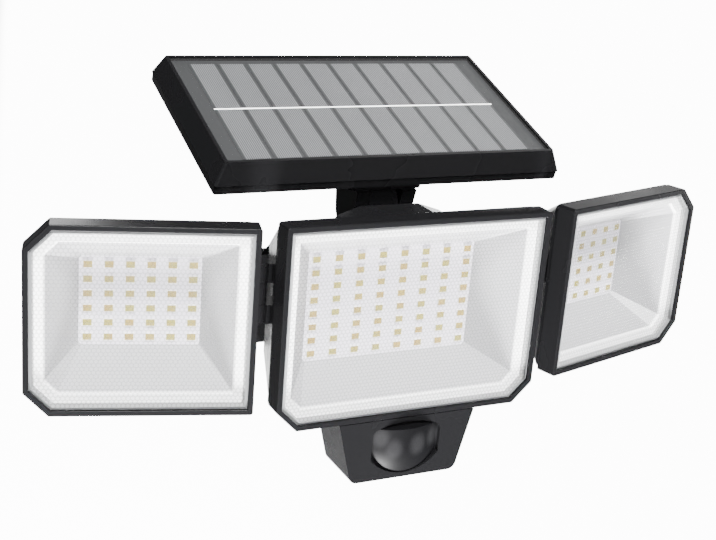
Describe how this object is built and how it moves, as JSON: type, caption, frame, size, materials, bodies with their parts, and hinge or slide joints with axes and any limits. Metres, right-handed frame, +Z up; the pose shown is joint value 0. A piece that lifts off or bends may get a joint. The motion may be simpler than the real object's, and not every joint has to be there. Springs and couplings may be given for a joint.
{
  "type": "motion sensor security light",
  "caption": "Wall-mounted motion sensor security light with a fixed centre head, hinged side heads, a sensor pod and a tilting solar panel on top.",
  "frame": {"origin": "middle of the wall bracket's four screw holes, in the plane of the wall", "axes": "+X to the viewer's right, +Y from the lamp heads to the wall, +Z up"},
  "size_m": [0.3874, 0.1594, 0.2005],
  "materials": {
    "black_plastic": "moulded ABS, fine matt texture",
    "clear_lens": "clear polycarbonate with a fine prism pattern",
    "lens_seal": "grey silicone rubber",
    "reflector": "white moulded plastic, satin",
    "led_board": "white solder mask on an aluminium board",
    "led": "yellow phosphor in a white package",
    "sensor_lens": "smoked polyethylene with fresnel facets inside",
    "circuit_board": "green solder mask",
    "sensor_can": "nickel-plated can",
    "seal_black": "black rubber",
    "screw_steel": "stainless steel",
    "battery_wrap": "blue shrink sleeve",
    "contact_metal": "nickel-plated spring steel",
    "holder_plastic": "moulded plastic",
    "chip_plastic": "moulded component bodies",
    "switch_plastic": "moulded plastic",
    "button_rubber": "silicone rubber",
    "bolt_steel": "black-zinc-plated steel",
    "panel_glass": "tempered glass, satin",
    "solar_cell": "monocrystalline silicon with silver fingers",
    "ribbon_metal": "tinned copper ribbon",
    "cell_board": "grey laminate"
  },
  "bodies": {
    "housing": {"centre_bezel": "black_plastic", "centre_lens": "clear_lens", "centre_lens_seal": "lens_seal", "centre_reflector": "reflector", "centre_led_board": "led_board", "centre_leds": "led", "main_housing": "black_plastic", "sensor_lens": "sensor_lens", "sensor_board": "circuit_board", "sensor_element": "sensor_can", "rear_seal": "seal_black", "rear_cover": "black_plastic", "rear_cover_screws": "screw_steel", "battery_cells": "battery_wrap", "battery_contacts": "contact_metal", "battery_holder": "holder_plastic", "control_board": "circuit_board", "control_parts": "chip_plastic", "control_board_screws": "screw_steel", "mode_switch": "switch_plastic", "wall_bracket": "black_plastic", "bracket_screws": "screw_steel", "left_hinge_bolt": "bolt_steel", "left_hinge_nut": "bolt_steel", "right_hinge_bolt": "bolt_steel", "right_hinge_nut": "bolt_steel"},
    "left_head": {"left_bezel": "black_plastic", "left_lens": "clear_lens", "left_lens_seal": "lens_seal", "left_reflector": "reflector", "left_led_board": "led_board", "left_leds": "led", "left_shell": "black_plastic"},
    "right_head": {"right_bezel": "black_plastic", "right_lens": "clear_lens", "right_lens_seal": "lens_seal", "right_reflector": "reflector", "right_led_board": "led_board", "right_leds": "led", "right_shell": "black_plastic"},
    "solar_panel": {"panel_frame": "black_plastic", "panel_glass": "panel_glass", "solar_cells": "solar_cell", "cell_ribbon": "ribbon_metal", "cell_sheet": "cell_board", "panel_under_cover": "black_plastic", "under_cover_screws": "screw_steel", "panel_bracket": "black_plastic", "panel_bracket_screws": "screw_steel", "tilt_bolt": "bolt_steel", "tilt_nut": "bolt_steel"},
    "button": {"mode_button": "button_rubber"}
  },
  "joints": [
    {"name": "left_head_swing", "type": "hinge", "parent": "housing", "child": "left_head", "pos_m": [-0.077, -0.12, 0.0492], "axis": [0, 0, -1], "range_deg": [-13, 60]},
    {"name": "right_head_swing", "type": "hinge", "parent": "housing", "child": "right_head", "pos_m": [0.077, -0.12, 0.0492], "axis": [0, 0, 1], "range_deg": [-13, 60]},
    {"name": "panel_tilt", "type": "hinge", "parent": "housing", "child": "solar_panel", "pos_m": [0, -0.0975, 0.0855], "axis": [1, 0, 0], "range_deg": [-19, 25]},
    {"name": "button_press", "type": "slide", "parent": "housing", "child": "button", "axis": [0, 0, 1], "range_m": [0, 0.0012], "stiffness_N_per_m": 400}
  ]
}
